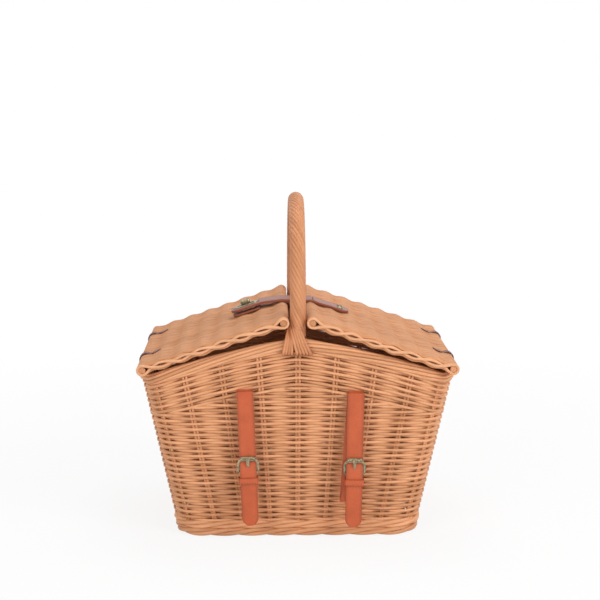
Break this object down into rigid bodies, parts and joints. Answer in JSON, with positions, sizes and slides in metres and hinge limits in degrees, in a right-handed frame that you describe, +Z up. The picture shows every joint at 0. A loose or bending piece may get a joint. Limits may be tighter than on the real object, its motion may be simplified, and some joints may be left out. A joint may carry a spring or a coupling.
{
  "type": "picnic basket",
  "caption": "House-shaped woven willow picnic basket with a bow handle, ridge lids on leather thongs, a turn-lock strap and buckled blanket straps.",
  "frame": {"origin": "middle of the base's underside, on the surface that the basket stands on", "axes": "+Z up, +X to the right seen from the front, front (the gable with the blanket straps) at -Y"},
  "size_m": [0.414, 0.2974, 0.4347],
  "materials": {
    "willow": "buff willow, waxed, satin",
    "lid_willow": "fine buff willow, satin",
    "willow_core": "buff willow sticks, satin",
    "tan_leather": "orange tan leather, smooth",
    "brown_leather": "red brown leather, sheen",
    "dark_leather": "dark brown leather, matte",
    "antique_metal": "antique brass, worn"
  },
  "bodies": {
    "basket": {"base_panel": "willow_core", "foot_border": "willow", "woven_wall": "willow", "rim_border": "willow", "handle_core": "willow_core", "handle_wrap": "willow", "handle_foot_front": "willow", "handle_foot_back": "willow", "left_hinge_thong_front": "dark_leather", "left_hinge_thong_back": "dark_leather", "right_hinge_thong_front": "dark_leather", "right_hinge_thong_back": "dark_leather", "left_strap_anchor": "tan_leather", "right_strap_anchor": "tan_leather"},
    "left_lid": {"left_lid_weave": "lid_willow", "left_lid_stick_1": "willow_core", "left_lid_stick_2": "willow_core", "left_lid_stick_3": "willow_core", "left_lid_stick_4": "willow_core", "left_lid_stick_5": "willow_core", "left_lid_stick_6": "willow_core", "left_lid_stick_7": "willow_core", "left_lid_stick_8": "willow_core", "left_lid_inner_strap": "dark_leather", "turn_lock_patch": "brown_leather", "turn_lock_base": "antique_metal"},
    "right_lid": {"right_lid_weave": "lid_willow", "right_lid_stick_1": "willow_core", "right_lid_stick_2": "willow_core", "right_lid_stick_3": "willow_core", "right_lid_stick_4": "willow_core", "right_lid_stick_5": "willow_core", "right_lid_stick_6": "willow_core", "right_lid_stick_7": "willow_core", "right_lid_stick_8": "willow_core", "right_lid_inner_strap": "dark_leather", "ridge_strap": "brown_leather", "ridge_strap_rivet_1": "antique_metal", "ridge_strap_rivet_2": "antique_metal"},
    "strap_flap": {"ridge_strap_flap": "brown_leather", "eyelet_plate": "antique_metal"},
    "lock_button": {"turn_button": "antique_metal"},
    "left_strap": {"left_blanket_strap": "tan_leather", "left_rear_strap": "tan_leather", "left_buckle_frame": "antique_metal", "left_strap_keeper": "tan_leather"},
    "right_strap": {"right_blanket_strap": "tan_leather", "right_rear_strap": "tan_leather", "right_buckle_frame": "antique_metal", "right_strap_keeper": "tan_leather"},
    "left_prong": {"left_buckle_prong": "antique_metal"},
    "right_prong": {"right_buckle_prong": "antique_metal"}
  },
  "joints": [
    {"name": "left_lid_hinge", "type": "hinge", "parent": "basket", "child": "left_lid", "pos_m": [-0.195, 0, 0.224], "axis": [0, -1, 0], "range_deg": [0, 170], "deforming": ["ridge_strap_flap", "eyelet_plate"]},
    {"name": "right_lid_hinge", "type": "hinge", "parent": "basket", "child": "right_lid", "pos_m": [0.195, 0, 0.224], "axis": [0, 1, 0], "range_deg": [0, 170], "deforming": ["ridge_strap_flap", "eyelet_plate"]},
    {"name": "strap_flap_lift", "type": "hinge", "parent": "right_lid", "child": "strap_flap", "pos_m": [0.0208, 0, 0.2921], "axis": [0, 1, 0], "range_deg": [0, 110]},
    {"name": "turn_button_twist", "type": "hinge", "parent": "left_lid", "child": "lock_button", "pos_m": [-0.06668, 0, 0.28486], "axis": [-0.3173, 0, 0.9483], "range_deg": [0, 90]},
    {"name": "left_strap_swing", "type": "hinge", "parent": "basket", "child": "left_strap", "pos_m": [-0.067, -0.1387, 0.196], "axis": [-1, 0, 0], "range_deg": [0, 70]},
    {"name": "right_strap_swing", "type": "hinge", "parent": "basket", "child": "right_strap", "pos_m": [0.073, -0.1384, 0.193], "axis": [-1, 0, 0], "range_deg": [0, 70]},
    {"name": "left_prong_swing", "type": "hinge", "parent": "left_strap", "child": "left_prong", "pos_m": [-0.06295, -0.1433, 0.0905], "axis": [0.9993, 0, 0.0384], "range_deg": [0, 70]},
    {"name": "right_prong_swing", "type": "hinge", "parent": "right_strap", "child": "right_prong", "pos_m": [0.07116, -0.143, 0.0874], "axis": [0.9998, 0, -0.0174], "range_deg": [0, 70]}
  ]
}
